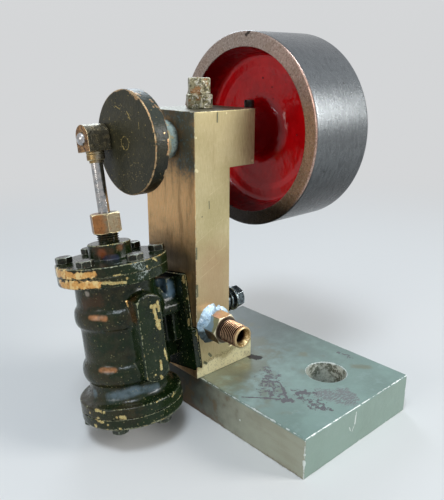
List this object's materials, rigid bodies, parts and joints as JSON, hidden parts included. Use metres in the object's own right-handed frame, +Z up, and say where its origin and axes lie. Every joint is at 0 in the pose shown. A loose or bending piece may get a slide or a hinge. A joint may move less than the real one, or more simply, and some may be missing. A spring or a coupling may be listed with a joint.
{
  "type": "model stationary steam engine",
  "caption": "Small vertical model steam engine: a rocking cylinder drives a crank disc and flywheel on a brass standard over a flat base plate.",
  "frame": {"origin": "middle of the base plate's underside", "axes": "+X along the shaft from the crank disc to the flywheel, +Y to the back, +Z up"},
  "size_m": [0.0896, 0.0794, 0.109],
  "materials": {
    "base_paint": "pale grey-green paint, scratched and chipped",
    "standard_brass": "brushed, tarnished brass",
    "oil_cup_brass": "corroded brass",
    "nipple_bronze": "heat-stained turned brass",
    "solder": "soft solder",
    "bright_steel": "polished steel",
    "disc_paint": "dark paint worn to bare metal at its edge",
    "collar_steel": "pale painted steel",
    "flywheel_iron": "gloss red paint inside, bare turned rim",
    "dark_steel": "oil-blackened steel",
    "cylinder_paint": "dark green paint, chipped to bare brass",
    "gland_brass": "turned brass",
    "big_end_bronze": "dark oiled bronze"
  },
  "bodies": {
    "stand": {"base_plate": "base_paint", "standard": "standard_brass", "oil_cup_base": "oil_cup_brass", "oil_cup_top": "oil_cup_brass", "steam_nipple": "nipple_bronze", "nipple_solder": "solder"},
    "crank": {"crankshaft": "bright_steel", "crank_disc": "disc_paint", "disc_collar": "collar_steel", "flywheel": "flywheel_iron", "hub_screw": "dark_steel"},
    "rocker": {"cylinder": "cylinder_paint", "port_plate": "cylinder_paint", "top_cover": "cylinder_paint", "gland_nut": "gland_brass", "cover_bolts": "dark_steel", "bottom_cover": "cylinder_paint", "bottom_bolts": "dark_steel", "pivot_bolt": "dark_steel", "pivot_spring": "dark_steel", "pivot_washer": "dark_steel", "pivot_nut": "dark_steel"},
    "rod": {"piston_rod": "bright_steel", "piston": "gland_brass", "rod_collar": "gland_brass", "big_end": "big_end_bronze", "crank_pin": "bright_steel"}
  },
  "joints": [
    {"name": "crank_turn", "type": "hinge", "parent": "stand", "child": "crank", "pos_m": [0, 0.0158, 0.0805], "axis": [1, 0, 0], "continuous": true},
    {"name": "cylinder_rock", "type": "hinge", "parent": "stand", "child": "rocker", "pos_m": [-0.02455, 0.0158, 0.0277], "axis": [1, 0, 0], "range_deg": [-0.34, 20.39]},
    {"name": "rod_slide", "type": "slide", "parent": "rocker", "child": "rod", "axis": [0, 0.1741, 0.9847], "range_m": [-0.01109, 0.00791]}
  ]
}
